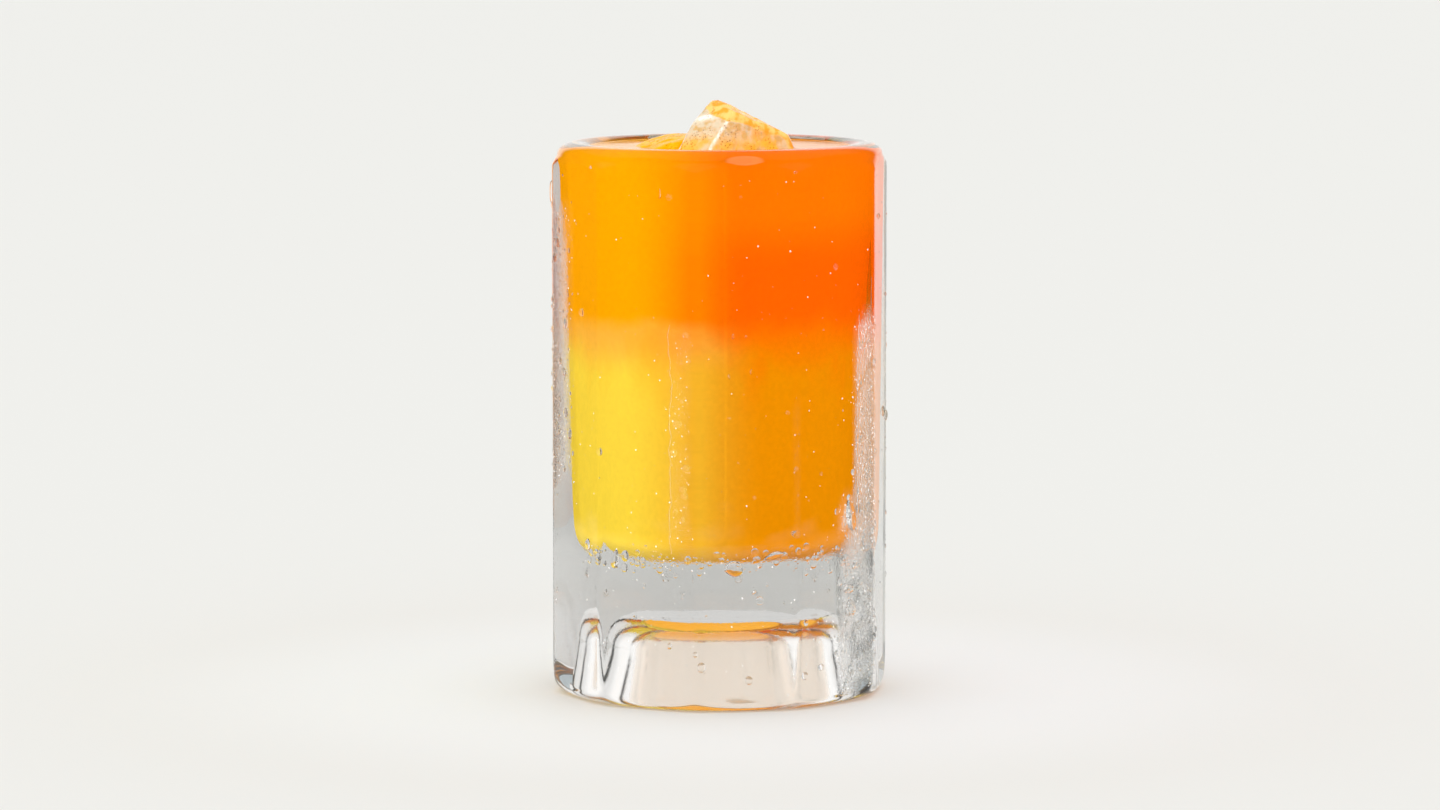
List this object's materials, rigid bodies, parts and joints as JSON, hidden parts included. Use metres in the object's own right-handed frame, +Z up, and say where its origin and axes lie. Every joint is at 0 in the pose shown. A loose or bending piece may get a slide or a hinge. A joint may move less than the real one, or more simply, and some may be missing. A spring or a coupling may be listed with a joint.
{
  "type": "orange carrot juice",
  "caption": "Heavy panelled glass tumbler for a cold drink, filled to the brim with orange juice under carrot juice, and half-melted ice at the top.",
  "frame": {"origin": "centre of the round foot, on the surface that the glass stands on", "axes": "+Z up along the glass's axis; -Y looks out of one of the flat panels, and +X out of an upright corner between two panels"},
  "size_m": [0.0768, 0.0734, 0.1347],
  "materials": {
    "glass": "clear pressed glass, fire-polished",
    "orange_juice": "cloudy yellow-orange liquid",
    "carrot_juice": "cloudy deep orange liquid",
    "ice": "wet ice with a film of juice"
  },
  "bodies": {
    "root": {"glass": "glass", "orange_juice": "orange_juice", "carrot_juice": "carrot_juice", "ice_tall": "ice", "ice_low": "ice"}
  },
  "joints": []
}
